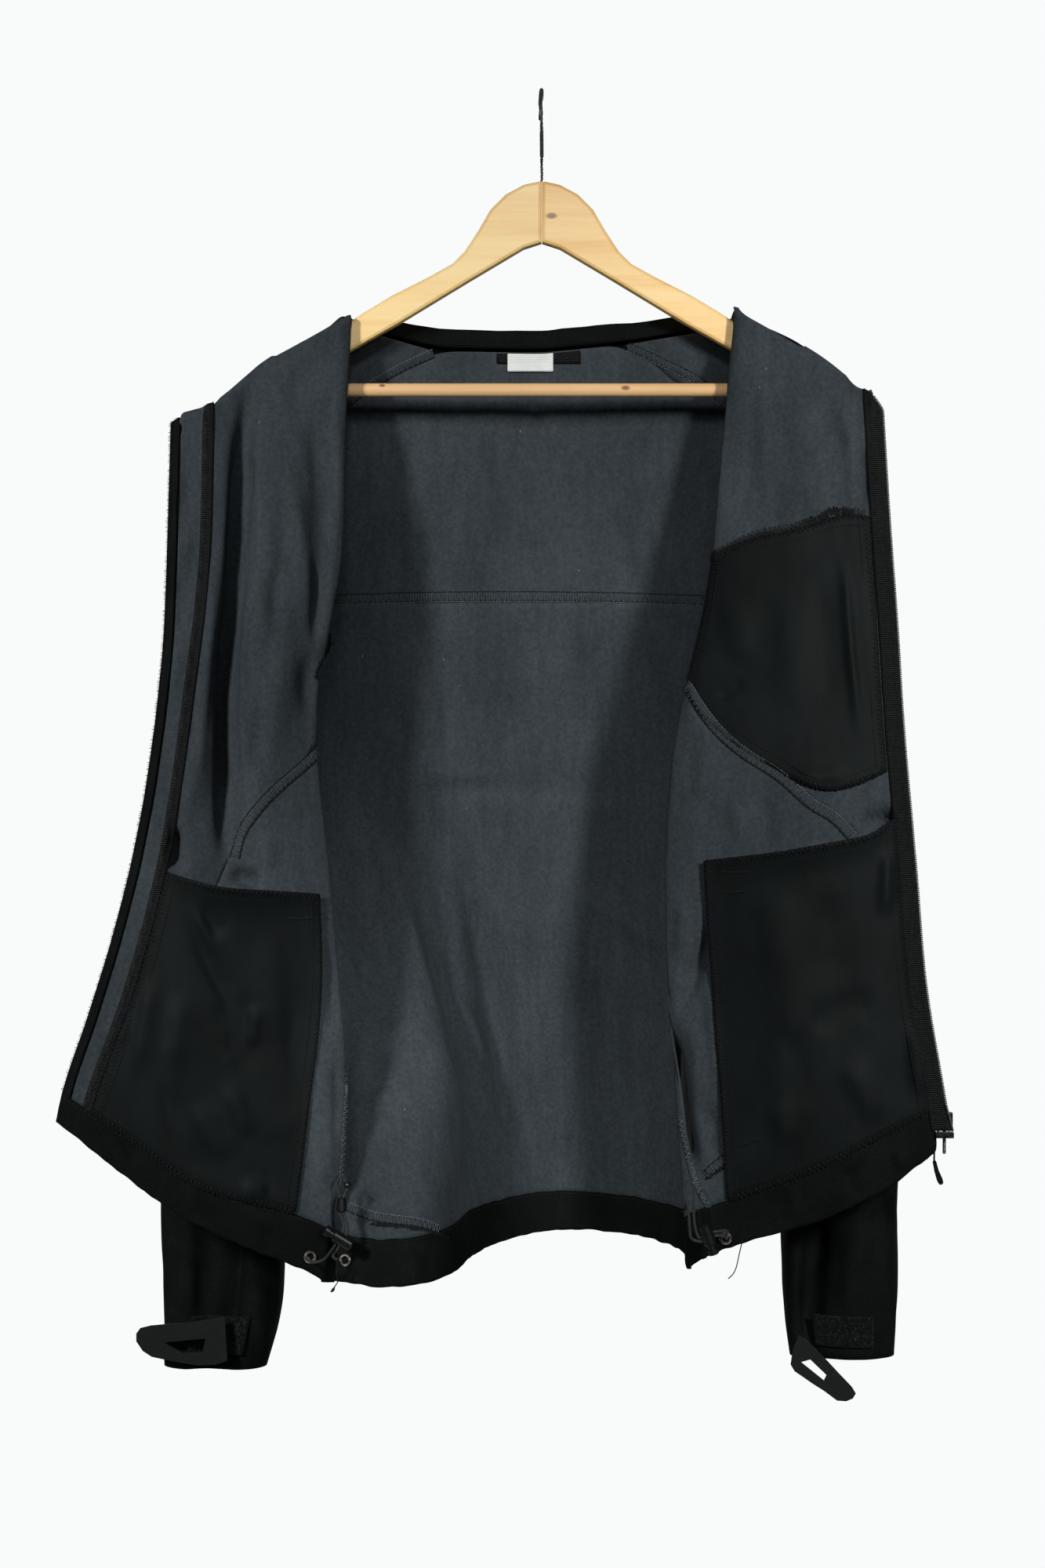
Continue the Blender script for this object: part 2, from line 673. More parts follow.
RIGHT_CREASES = creases("""
5 -1.7 1.7 | 1057,610 1062,640 1070,662
8 -1.6 1.4 | 985,430 1000,520 1002,640
7 -1.5 1.4 | 1040,470 1052,540 1058,620
6 1.5 1.2 | 1072,500 1083,560 1088,640
7 1.4 1.2 | 962,430 974,520 972,640
6 -1.1 1.4 | 930,470 930,560 924,660
6 -1.6 1.3 | 1092,560 1097,600 1101,650
6 1.3 1.3 | 1030,600 1036,640 1043,668
10 1.2 1.3 | 1006,500 1010,560 1012,620
10 -1.0 1.4 | 960,520 952,600 946,680
7 -1.1 1.3 | 990,600 992,650 986,690
8 1.2 1.4 | 940,430 952,470 948,520
5 -1.5 1.6 | 972,1008 975,1050 972,1090
8 1.3 1.3 | 893,900 899,960 893,1030
6 1.0 1.3 | 930,1010 944,1050 940,1085
5 -2.4 1.6 | 872,1262 886,1232 900,1208 906,1180
6 1.8 1.2 | 884,1300 890,1350 888,1420
5 1.4 1.3 | 905,1240 910,1320 912,1400
7 1.2 1.3 | 866,1130 872,1180 868,1230
5 -1.8 1.3 | 903,1400 908,1450 914,1500
5 -6.5 1.4 | 1094,1057 1118,1050 1146,1039
5 -4.8 1.6 | 853,1290 861,1380 876,1465 900,1522
4.5 -3.0 1.5 | 906,1150 900,1200 882,1250 866,1300
""")
LEFT_BAG_CREASES = creases("""
6 -2.6 1.8 | 235,1158 252,1198 269,1238 302,1296 316,1338
5 -1.8 1.5 | 252,1150 272,1180 286,1200
4 1.6 1.0 | 246,1150 262,1190 276,1226
9 -3.6 1.4 | 282,1268 300,1310 304,1350 290,1362
5 2.6 1.2 | 326,1276 322,1310 319,1342
7 -2.4 1.8 | 206,1366 214,1410 231,1456 258,1484 288,1498
7 2.2 1.4 | 286,1378 302,1412 320,1456
7 2.0 1.4 | 193,1236 191,1266 186,1296 172,1380
8 1.8 1.4 | 228,1260 226,1330 216,1370
5 2.4 1.2 | 306,1524 324,1516 342,1524
12 1.6 1.3 | 340,1180 344,1260 352,1340
9 -1.6 1.4 | 372,1240 378,1340 368,1440
8 1.8 1.4 | 250,1400 270,1450 300,1480
8 -1.8 1.4 | 344,1440 352,1490 344,1530
""")
CHEST_BAG_CREASES = creases("""
3.5 1.8 1.0 | 1075,697 1080,760 1085,830 1092,897 1096,950
4 -1.4 1.5 | 911,890 930,884 950,868
10 1.2 1.3 | 930,760 940,800 936,850
13 1.3 1.3 | 1000,740 1010,830 1004,920
8 -1.2 1.4 | 1046,720 1050,800 1060,900
6 -1.0 1.4 | 1110,700 1118,800 1126,900
5 1.2 1.3 | 1000,985 1040,992 1090,985
""")
RIGHT_BAG_CREASES = creases("""
5 2.4 1.2 | 1131,1078 1130,1120 1127,1172
6 -1.6 1.3 | 1150,1100 1152,1180 1160,1260
7 -2.2 1.7 | 1039,1322 1062,1300 1089,1286 1116,1292
6 2.0 1.3 | 1165,1300 1169,1356 1174,1406
8 1.6 1.4 | 988,1400 998,1440 1004,1464
12 1.2 1.3 | 980,1120 986,1180 982,1250
12 -1.2 1.3 | 1060,1130 1056,1200 1066,1270
9 1.6 1.4 | 1070,1350 1100,1390 1120,1440
9 -1.3 1.4 | 1000,1300 1016,1360 1012,1420
""")
HEM_CREASES = creases("""
5 -1.4 1.4 | 150,1440 165,1462 170,1490
5 1.4 1.4 | 236,1500 246,1524 244,1552
5 -1.4 1.4 | 330,1560 342,1584 338,1606
4 -1.2 1.4 | 470,1600 476,1620 472,1640
4 1.2 1.4 | 524,1600 530,1620 524,1640
4 -1.2 1.4 | 640,1530 644,1552 640,1572
4 1.1 1.4 | 722,1530 726,1550 722,1570
4 -1.2 1.4 | 800,1540 806,1560 804,1580
4 1.2 1.4 | 842,1550 848,1572 846,1590
5 1.4 1.4 | 1006,1512 1012,1536 1008,1560
5 -1.4 1.4 | 1078,1486 1086,1508 1084,1530
4 1.2 1.4 | 1140,1462 1148,1480 1150,1496
""")
COLLAR_CREASES = creases("""
4 -0.8 1.4 | 560,426 580,438 606,440
4 -0.8 1.4 | 700,424 740,434 790,430
""")
LEFT_SLEEVE_CREASES = creases("""
7 -8.0 1.2 | 302,1500 300,1560 296,1630 289,1700 287,1760
9 1.8 1.3 | 232,1560 238,1620 230,1690
6 -1.4 1.4 | 262,1590 256,1640 262,1690
7 2.0 1.4 | 334,1620 328,1670 334,1730
5 -1.4 1.4 | 214,1540 222,1580 218,1640
""")
RIGHT_SLEEVE_CREASES = creases("""
7 -8.0 1.2 | 1047,1480 1043,1545 1037,1610 1030,1690 1026,1760
4 -1.8 1.5 | 1123,1530 1118,1552 1112,1576
9 1.8 1.3 | 1080,1560 1086,1620 1078,1680
6 1.5 1.4 | 1132,1560 1128,1620 1134,1680
6 -1.3 1.4 | 1104,1600 1096,1650 1100,1700
4 -1.4 1.4 | 1136,1500 1130,1530 1138,1560
""")
# The same kind of folds on the side that the picture doesn't show: a few long ones down each sleeve,
# and short slanting ones at the elbow and above the cuff.
HIDDEN_SLEEVE_CREASES = creases("""
14 -3.0 1.4 | 0,-300 8,-420 2,-540
8 -2.4 1.6 | -26,-420 -10,-500 20,-560
8 2.4 1.4 | 26,-480 6,-560 -22,-610
7 -2.2 1.6 | -24,-600 4,-640 28,-650
12 2.6 1.4 | 10,-650 -4,-740 4,-860
8 -2.0 1.4 | -20,-760 -14,-840 -20,-930
7 1.8 1.4 | 22,-800 24,-870 18,-940
""")


# %% Push creases into a sheet
FADE = 0.35  # the share of a crease over which each end runs out


def eased(t):
    """From 0 to 1 with soft ends."""
    t = np.clip(t, 0, 1)
    return t**2 * (3 - 2 * t)


def near_line(places, line):
    """Each place's distance to a line, the side it lies on, and how far along it is, from 0 to 1."""
    line = smooth_route(line, 5)[:, :2]
    starts, ways = line[:-1], np.diff(line, axis=0)
    lengths = np.linalg.norm(ways, axis=1)
    best = np.full(len(places), np.inf)
    side, along = np.zeros(len(places)), np.zeros(len(places))
    done = 0.0
    for start, way, length in zip(starts, ways, lengths):
        offset = places - start
        t = np.clip(offset @ way / length**2, 0, 1)
        distance = np.linalg.norm(offset - t[:, None] * way, axis=1)
        nearer = distance < best
        best[nearer] = distance[nearer]
        side[nearer] = (way[0] * offset[:, 1] - way[1] * offset[:, 0])[nearer]
        along[nearer] = (done + t * length)[nearer]
        done += length
    return best, side, along / done


def crease_heights(places, lines, scale):
    """How far each place moves out, in millimetres; `scale` is millimetres to a unit of the places."""
    height = np.zeros(len(places))
    for line, width, depth, skew in lines:
        distance, side, along = near_line(places, line)
        reach = np.where(side < 0, width * skew, width) / scale
        fade = eased(np.minimum(along, 1 - along) / FADE)
        height += depth * fade * np.exp(-((distance / reach) ** 2))
    return height


SLACK = ((1.3, (0.030, 0.05, 0.085)), (0.4, (0.009, 0.012, 0.022)))  # millimetres, and size of a bulge


def slack(points, amount):
    """How uneven hanging cloth is between its folds. It is the same wherever two pieces meet."""
    waves = ([depth * noise.noise(Vector(p)) for p in points / size] for depth, size in SLACK)
    return amount * sum(map(np.array, waves))


def border_loops(mesh):
    """The sheet's borders, each as vertex numbers in order."""
    count = {}
    for polygon in mesh.polygons:
        for key in polygon.edge_keys:
            count[key] = count.get(key, 0) + 1
    after = {}
    for a, b in (key for key, n in count.items() if n == 1):
        after.setdefault(a, []).append(b)
        after.setdefault(b, []).append(a)
    loops, used = [], set()
    for first in sorted(after):
        loop, step = [], [first] if first not in used else []
        while step:
            loop.append(step[0])
            used.add(step[0])
            step = [v for v in after[loop[-1]] if v not in used]
        if loop:
            loops.append(loop)
    return sorted(loops, key=len, reverse=True)


def outward_ways(ring, normals, middle):
    """At each point of a border, the way along the cloth that leads off it."""
    outward = np.cross(np.roll(ring, -1, axis=0) - np.roll(ring, 1, axis=0), normals)
    outward /= np.maximum(np.linalg.norm(outward, axis=1), 1e-9)[:, None]
    inwards = np.einsum("ij,ij->i", outward, ring - middle).sum() < 0
    return -outward if inwards else outward


def spread(mesh, values, rounds, keep):
    """Values averaged with those of their neighbours, except where `keep` is true."""
    a, b = rows_of(mesh.edges, "vertices", 2, np.int64).T
    count = np.bincount(a, minlength=len(values)) + np.bincount(b, minlength=len(values))
    for _ in range(rounds):
        total = np.zeros_like(values)
        np.add.at(total, a, values[b])
        np.add.at(total, b, values[a])
        values = np.where(keep[:, None], values, total / np.maximum(count, 1)[:, None])
    return values


# %% Fit the borders to their neighbours
TUCK = 0.45 * MM  # each piece is a little wider than its solid, so that seams don't show light
LEFT, RIGHT, DOWN, UP = (Vector(way) for way in ((-1, 0, 0), (1, 0, 0), (0, 0, -1), (0, 0, 1)))
REACHES = {  # a way, how far borders facing it reach over the next piece, and between what heights
    "pocket_hand_left": ((Vector((-0.2, 0, -1)), 3.6 * MM, -1, 0), (LEFT, 2.6 * MM, -1, 0)),
    "pocket_hand_right": ((Vector((0.2, 0, -1)), 3.6 * MM, -1, 0), (RIGHT, 2.6 * MM, -1, 0)),
    "hem_right": ((Vector((1, 0, 0.3)), 3.0 * MM, -1, 0),),
    "back_yoke": ((LEFT, 9 * MM, -1, 0), (RIGHT, 7 * MM, -1, 0), (DOWN, 1.2 * MM, -1, 0)),
    "back_panel": ((LEFT, 13 * MM, -0.52, 0), (RIGHT, 9 * MM, -0.49, 0)),
}
REACH_FADE = 30 * MM  # over this much height a reach runs out


def tucked(mesh, points, normals, reaches):
    """The points with the border moved outwards by TUCK, and further where `reaches` says."""
    points = points.copy()
    for loop in border_loops(mesh):
        ring = points[loop]
        outward = outward_ways(ring, normals[loop], points.mean(axis=0))
        far = np.full(len(loop), TUCK)
        for way, more, low, high in reaches:
            facing = np.clip((outward @ way.normalized() - 0.5) / 0.3, 0, 1)
            inside_heights = np.minimum(ring[:, 2] - low, high - ring[:, 2]) / REACH_FADE
            far += more * facing * np.clip(inside_heights, 0, 1)
        points[loop] = ring + outward * far[:, None]
    return points


cloth = {}  # node -> its fine mesh, for pieces that are laid on it
MEETS = {  # pieces whose borders are sewn to those of earlier ones
    "back_panel": ("back_yoke",),
    "front_left_upper": ("back_yoke",),
    "front_left_lower": ("front_left_upper", "back_panel"),
    "front_right_upper": ("back_yoke",),
    "front_right_lower": ("front_right_upper", "back_panel"),
    "hem_back": ("back_panel",),
    "hem_left": ("front_left_lower", "hem_back"),
    "hem_right": ("front_right_lower", "hem_back"),
}
SEAM_REACH = 3.2 * MM
BORDER_STEP = 20 * MM  # a longer step closes a border that is open, and isn't part of it


def meeting(mesh, points, nodes):
    """The points with the border drawn onto the borders of these sheets, where it is near them."""
    targets = []
    for node in nodes:
        other = rows_of(cloth[node].vertices, "co")
        for loop in border_loops(cloth[node]):
            ring = other[loop]
            step = np.roll(ring, -1, axis=0) - ring
            step[np.linalg.norm(step, axis=1) > BORDER_STEP] = 0
            targets.extend(ring + step * t for t in np.arange(8) / 8)
    targets = np.concatenate(targets)
    tree = KDTree(len(targets))
    for i, target in enumerate(targets):
        tree.insert(target, i)
    tree.balance()
    shift, held = np.zeros_like(points), np.zeros(len(points), bool)
    for i in sum(border_loops(mesh), []):
        place, _, distance = tree.find(points[i])
        held[i] = True
        if distance < SEAM_REACH:
            shift[i] = np.array(place) - points[i]
    return points + spread(mesh, shift, 8, held)


TOP_LEFT = path(
    "218,542 230,531 246,524 274,518 294,509 319,486 336,468 366,448 399,430 432,411 445,405 452,402"
)
TOP_RIGHT = path(
    "908,392 920,390 939,394 951,404 992,427 1027,448 1061,472 1090,494 1109,500 1120,508 1125,525"
)
TOPS = {"front_left_upper": TOP_LEFT, "storm_flap": TOP_LEFT, "front_right_upper": TOP_RIGHT}
TOP_LOW, TOP_REACH = -6, 24  # pixels above and below the contour from which a border is drawn to it
TOP_FORWARD = -2.6 * MM


def topped(mesh, points, contour):
    """The points with the upper border drawn up to the contour in the picture."""
    across, down = np.array(contour).T
    places = picture_place(points)
    shift, held = np.zeros_like(points), np.zeros(len(points), bool)
    for loop in border_loops(mesh):
        held[loop] = True
        at = places[loop, 0]
        up = places[loop, 1] - np.interp(at, across, down)
        near = (up > TOP_LOW) & (up < TOP_REACH) & (at > across[0]) & (at < across[-1])
        ring = np.zeros((len(loop), 3))
        ring[near, 2] = up[near] * PIXEL
        ring[near, 1] = TOP_FORWARD
        for _ in range(6):
            mean = (np.roll(ring, 1, axis=0) + 2 * ring + np.roll(ring, -1, axis=0)) / 4
            ring = np.where(near[:, None], mean, ring)
        shift[loop] = ring
    return points + spread(mesh, shift, 14, held)


NECK = 0.120  # further out than this, the collar is hidden behind the fronts
NECK_FADE = 25 * MM
COLLAR_DROP = np.array([0, 1.5, -7.0]) * MM


def tucked_behind(points):
    """The collar's ends, lower and further back where the fronts hide them."""
    hidden = eased((np.abs(points[:, 0]) - NECK) / NECK_FADE)
    return points + hidden[:, None] * COLLAR_DROP


def tree_over(nodes):
    """One search tree over several fine sheets."""
    corners, faces = [], []
    for node in nodes:
        mesh = cloth[node]
        start = len(corners)
        corners.extend(rows_of(mesh.vertices, "co").tolist())
        faces.extend([tuple(start + i for i in p.vertices) for p in mesh.polygons])
    return BVHTree.FromPolygons(corners, faces)


LIFT_REACH = 7 * MM


def lift_clear(mesh, points, normals, under, clear):
    """The points, pushed out along their normals until they clear the sheets below them."""
    tree = tree_over(under)
    push = np.zeros(len(points))
    for i, (point, normal) in enumerate(zip(points, normals)):
        normal = Vector(normal)
        hit = tree.ray_cast(Vector(point) + normal * LIFT_REACH, -normal, 2 * LIFT_REACH)
        if hit[0] is not None:
            push[i] = max(0.0, LIFT_REACH - hit[3] + clear)
    free = np.zeros(len(points), bool)
    for _ in range(6):  # spread the push, so that it leaves no steps
        push = np.maximum(push, spread(mesh, push[:, None], 1, free)[:, 0])
    return points + normals * push[:, None]


# %% [markdown]
# ## Dress every piece of cloth
#
# The pieces are made in the order in which they lie: panels first, then what is sewn on them. A piece
# that lies on another is pushed out until it clears the creases below it. Each is declared as a sheet
# with the size of its cut: width and length, and the area where the cut isn't a rectangle.


# %% Make one piece of cloth
MOUTHS = {  # the open upper edges of the hand pockets, in pixels
    "pocket_hand_left": path("212,1110 235,1123 289,1133 327,1134 369,1136 404,1142"),
    "pocket_hand_right": path("912,1098 983,1088 1044,1076 1106,1064 1142,1037"),
}
MOUTH_OPEN = 6.5 * MM
MOUTH_DEPTH = 26.0  # millimetres down the bag over which it closes
PUCKER, PUCKER_SIZE = 1.1 * MM, 9 * MM  # of the hem over its cord
SINGLE = 1.6  # millimetres, one layer of softshell: fleece on one face, black shell on the other
FACING = 0.15  # a tube's normals below this face the viewer
CLEAR = 0.25 * MM  # between a piece and what it lies on
SEWN_SLACK = 0.6  # pieces sewn on hang less unevenly
CLOTHS = {  # the slot, and how strongly the cloth holds the creases listed above
    FLEECE: ("fleece", 2.2), SHELL: ("shell", 1.7), TWILL: ("lining", 1.8),
    TAPE: ("tape", 1.0), LABEL: ("label", 1.0), LOOP_PILE: ("loop_pile", 1.0),
}  # fmt: skip


def mouth_opening(places, down_now, contour):
    """How far open the mouth of a pocket is: full at the middle of its edge, 0 at its ends and below."""
    across, down = np.array(contour).T
    near = (down_now - np.interp(places[:, 0], across, down)) * PX / MOUTH_DEPTH
    along = np.clip((places[:, 0] - across[0]) / (across[-1] - across[0]), 0, 1)
    return np.clip(1 - near, 0, 1) ** 2 * np.sin(math.pi * along) ** 0.7


def make_cloth(name, node, levels, wall, lines, finish, cut, under=(), tube=False, wave=1.0):
    slot, folds = CLOTHS[finish]
    mesh = subdivided(name, seen_face(node, wall * MM, tube), levels)
    points, normals = points_and_normals(mesh)
    seen = picture_place(points)
    height = slack(points, wave)
    front = normals[:, 1] < FACING if tube else np.ones(len(points), bool)
    height += np.where(front, folds * crease_heights(seen, lines, PX), 0)
    if tube:
        middle = points.mean(axis=0)
        behind = np.stack([points[:, 0] - middle[0], points[:, 2]], axis=1) / MM
        height += np.where(front, 0, crease_heights(behind, HIDDEN_SLEEVE_CREASES, 1.0))
    points = points + normals * height[:, None] * MM
    if node in MEETS:
        points = meeting(mesh, points, MEETS[node])
    if node in TOPS:
        points = topped(mesh, points, TOPS[node])
    if node == "collar":
        points = tucked_behind(points)
    if node.startswith("hem"):  # elastic puckers
        points[:, 2] += [PUCKER * noise.noise(Vector(p) / PUCKER_SIZE) for p in points]
    points = tucked(mesh, points, normals, REACHES.get(node, ()))
    if under:
        points = lift_clear(mesh, points, normals, under, wall * MM + CLEAR)
    if node in MOUTHS:
        points[:, 1] -= MOUTH_OPEN * mouth_opening(seen, picture_place(points)[:, 1], MOUTHS[node])
    mesh.vertices.foreach_set("co", points.ravel())
    mesh.update()
    mesh.shade_smooth()
    cloth[node] = mesh
    obj = link(name, mesh)
    thicken = obj.modifiers.new("wall", "SOLIDIFY")
    thicken.thickness = wall * MM
    thicken.offset = -1
    mesh.materials.clear()
    mesh.materials.append(finish)
    if wall == SINGLE:
        mesh.materials.append(FLEECE if tube else SHELL)
        thicken.material_offset = 1
    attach(obj, "jacket")
    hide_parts(node)


# %% Cut list
PANELS = [
    # piece, solid, levels, creases, (width, length, area) of its cut
    ("lining_back_yoke", "back_yoke", 3, BACK_CREASES, (0.45, 0.19, 0.075)),
    ("lining_back_panel", "back_panel", 3, BACK_CREASES + LEFT_CREASES, (0.53, 0.50, 0.245)),
    ("front_left_upper", "front_left_upper", 3, LEFT_CREASES, (0.27, 0.53, 0.071)),
    ("front_left_lower", "front_left_lower", 3, LEFT_CREASES, (0.22, 0.42, 0.058)),
    ("front_right_upper", "front_right_upper", 3, RIGHT_CREASES, (0.25, 0.44, 0.075)),
    ("front_right_lower", "front_right_lower", 3, RIGHT_CREASES, (0.24, 0.42, 0.065)),
    ("storm_flap_lining", "storm_flap", 2, LEFT_CREASES, (0.028, 0.54, 0.0097)),
]
for name, node, levels, lines, cut in PANELS:
    make_cloth(name, node, levels, SINGLE, lines, FLEECE, cut)

SLEEVE_CUT = (0.27, 0.77, 0.18)
for side, lines in (("left", LEFT_SLEEVE_CREASES), ("right", RIGHT_SLEEVE_CREASES)):
    piece = (f"shell_sleeve_{side}", f"sleeve_{side}", 3, SINGLE, lines, SHELL, SLEEVE_CUT)
    make_cloth(*piece, tube=True)

SEWN_ON = [
    # piece, solid, levels, wall in millimetres, creases, finish, cut, what it lies on
    ("collar_folded", "collar", 2, 2.4, COLLAR_CREASES, SHELL, (0.56, 0.075, 0.0269), ()),
    ("hem_band_back", "hem_back", 3, 2.4, HEM_CREASES, SHELL, (0.43, 0.037, 0.0156), ()),
    ("hem_band_left", "hem_left", 3, 2.4, HEM_CREASES, SHELL, (0.27, 0.036, 0.007), ()),
    ("hem_band_right", "hem_right", 3, 2.4, HEM_CREASES, SHELL, (0.20, 0.036, 0.0065), ()),
    ("flap_binding", "storm_flap_binding", 3, 2.2, LEFT_CREASES, SHELL, (0.0105, 0.53, 0.0042),
     ("storm_flap",)),
    ("zip_half_left", "zip_tape_left", 2, 0.8, LEFT_CREASES, TAPE, (0.0105, 0.56, 0.004),
     ("front_left_upper", "front_left_lower", "storm_flap")),
    ("zip_half_right", "zip_tape_right", 3, 0.8, RIGHT_CREASES, TAPE, (0.014, 0.58, 0.0072),
     ("front_right_upper", "front_right_lower")),
    ("hand_pocket_left", "pocket_hand_left", 3, 0.9, LEFT_BAG_CREASES, TWILL, (0.15, 0.26, 0.0303),
     ("front_left_lower", "front_left_upper", "zip_tape_left", "hem_left")),
    ("hand_pocket_right", "pocket_hand_right", 3, 0.9, RIGHT_BAG_CREASES, TWILL, (0.16, 0.28, 0.0345),
     ("front_right_lower", "front_right_upper", "zip_tape_right", "hem_right")),
    ("chest_pocket_right", "pocket_chest_right", 3, 0.9, CHEST_BAG_CREASES, TWILL, (0.15, 0.21, 0.0241),
     ("front_right_upper", "front_right_lower", "zip_tape_right")),
    ("hanging_loop_tape", "hanging_loop", 2, 0.8, [], TAPE, (0.0105, 0.07, 0.0005),
     ("back_yoke", "collar")),
    ("neck_label_bare", "neck_label", 3, 0.8, [], LABEL, (0.036, 0.015, 0.00045),
     ("back_yoke", "hanging_loop")),
    ("cuff_patch_pile_left", "cuff_patch_left", 3, 1.2, [], LOOP_PILE, (0.06, 0.026, 0.00143),
     ("sleeve_left",)),
    ("cuff_patch_pile_right", "cuff_patch_right", 3, 1.2, [], LOOP_PILE, (0.05, 0.026, 0.00112),
     ("sleeve_right",)),
]  # fmt: skip
for *piece, under in SEWN_ON:
    make_cloth(*piece, under=under, wave=SEWN_SLACK)

# %% [markdown]
# ## Seams and stitches
#
# The panels are joined with flatlock seams: the edges lie over each other as a raised band about 8 mm
# wide, and covering threads cross it like a ladder between two rows of needle stitches. Each seam was
# read off the picture as a line of pixels. The camera's sight line through a pixel is followed until
# it meets the cloth, so the seam lies on the jacket from any side.


# %% Lay a line on the cloth
STEP = 2.5 * MM
SHEET_REACH = 6 * MM  # how far from a line its sheet is looked for


def even_line(points, normals, step=STEP):
    """Points and normals at even steps along a line."""
    knots = np.concatenate([[0], np.cumsum(np.linalg.norm(np.diff(points, axis=0), axis=1))])
    at = np.linspace(0, knots[-1], max(2, int(round(knots[-1] / step)) + 1))
    points, normals = (
        np.stack([np.interp(at, knots, rows[:, k]) for k in range(3)], axis=1)
        for rows in (points, normals)
    )
    return points, normals / np.linalg.norm(normals, axis=1)[:, None]


def softened(values, rounds):
    for _ in range(rounds):
        values[1:-1] = (values[:-2] + 2 * values[1:-1] + values[2:]) / 4
    return values


def laid_line(pixels, nodes, step=STEP):
    """The line of pixels, cast from the camera onto these sheets: points and normals."""
    tree = tree_over(nodes)
    points, normals = [], []
    for pixel in smooth_route(path(pixels), 8):
        hit, normal, _, _ = tree.ray_cast(CAMERA_AT, sight_line(pixel))
        if hit is not None:
            points.append(hit)
            normals.append(-normal if normal.y > 0 else normal)
    return even_line(softened(np.array(points), 2), softened(np.array(normals), 6), step)


def crosswise(points, normals):
    """Directions across a line, along the cloth."""
    across = np.cross(normals, np.gradient(points, axis=0))
    return across / np.linalg.norm(across, axis=1)[:, None]


def on_sheet(tree, point, normal, lift):
    """The point moved along the normal onto the sheet and then out by `lift`."""
    normal = Vector(normal)
    hit = tree.ray_cast(Vector(point) + normal * SHEET_REACH, -normal, 2 * SHEET_REACH)[0]
    return (hit if hit is not None else Vector(point)) + normal * lift


COLUMNS = 7  # points across a band
BAND_RISE, BAND_WALL, BAND_LIFT = 0.8 * MM, 0.7 * MM, 0.15 * MM


def make_band(name, width, nodes, pixels):
    """A raised band of cloth along a seam. Gives its rows of points and its normals back."""
    points, normals = laid_line(pixels, nodes)
    across, tree = crosswise(points, normals), tree_over(nodes)
    grid = np.empty((len(points), COLUMNS, 3))
    for i, (point, side, normal) in enumerate(zip(points, across, normals)):
        for j, place in enumerate(np.linspace(-0.5, 0.5, COLUMNS)):
            lift = BAND_RISE * (1 - (2 * abs(place)) ** 4) + BAND_LIFT
            grid[i, j] = on_sheet(tree, point + side * width * place, normal, lift)
    corners = [i * COLUMNS + j for i in range(len(points) - 1) for j in range(COLUMNS - 1)]
    mesh = bpy.data.meshes.new(name)
    mesh.from_pydata(
        grid.reshape(-1, 3).tolist(), [], [(c, c + 1, c + 1 + COLUMNS, c + COLUMNS) for c in corners]
    )
    if sum(p.normal.dot(Vector(normals[0])) for p in mesh.polygons) < 0:
        mesh.flip_normals()
    mesh.shade_smooth()
    mesh.materials.append(FLEECE_SEAM)
    band = link(name, mesh)
    wall = band.modifiers.new("wall", "SOLIDIFY")
    wall.thickness, wall.offset = BAND_WALL, -1
    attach(band, "jacket")
    return grid, normals


# %% Bands along the seams
SEAMS = {  # width in millimetres, sheets, pixels
    "seam_yoke": (
        8, ("back_yoke", "back_panel"),
        "430,765 470,764 520,762 600,761 690,761 780,762 840,764 898,766"),
    "seam_curved_left": (
        7.5, ("front_left_upper", "front_left_lower"),
        "410,955 384,979 354,1005 331,1029 309,1060 300,1092"),
    "seam_curved_right": (
        8, ("front_right_upper", "front_right_lower", "pocket_chest_right"),
        "873,868 893,902 918,934 951,962 995,990 1032,1023 1065,1044 1086,1066"),
    "seam_shoulder_left": (6.5, ("back_yoke", "front_left_upper"), "556,449 520,465 480,487 444,512"),
    "seam_shoulder_right": (6.5, ("back_yoke", "front_right_upper"), "797,441 840,460 893,487 923,515"),
    "seam_side_left": (
        3.5, ("back_panel", "front_left_lower"), "440,1370 440,1405 438,1440 436,1475 432,1512"),
    "seam_side_right": (
        6, ("back_panel", "front_right_lower"), "868,1425 874,1455 880,1482 886,1503 895,1524 908,1544"),
    "seam_facing_left": (6.5, ("back_panel",), "446,1540 474,1551 498,1555 524,1558 550,1564 572,1576"),
    "seam_facing_right": (7, ("front_right_lower", "back_panel"), "902,1498 912,1488 931,1474"),
}  # fmt: skip
bands = {name: make_band(name, width * MM, *seam) for name, (width, *seam) in SEAMS.items()}


# %% Lines for the stitches
SHORTEST_RUN = 6  # border points, below which a row of stitches is left out


def along_band(name, place):
    """One line along a band, from its left edge (0) to its right edge (1)."""
    grid, normals = bands[name]
    return grid[:, int(round(place * (COLUMNS - 1)))], normals


def edge_line(node, inset, toward=None, least=0.6):
    """A sheet's outer border, `inset` millimetres inwards: all, or where it faces `toward`."""
    points, normals = points_and_normals(cloth[node])
    loop = border_loops(cloth[node])[0]
    ring, out = points[loop], normals[loop]
    outward = outward_ways(ring, out, points.mean(axis=0))
    line = ring - outward * (inset * MM)
    if toward is None:
        return [even_line(np.concatenate([line, line[:1]]), np.concatenate([out, out[:1]]))]
    good = outward @ toward > least
    if good.all():
        return [even_line(line, out)]
    start = int(np.argmin(good))  # begin where the border isn't chosen, so that no run is split
    runs, run = [], []
    for i in np.roll(np.arange(len(loop)), -start):
        if good[i]:
            run.append(i)
        elif run:
            runs.append(run)
            run = []
    runs += [run] if run else []
    return [even_line(line[r], out[r]) for r in runs if len(r) > SHORTEST_RUN]


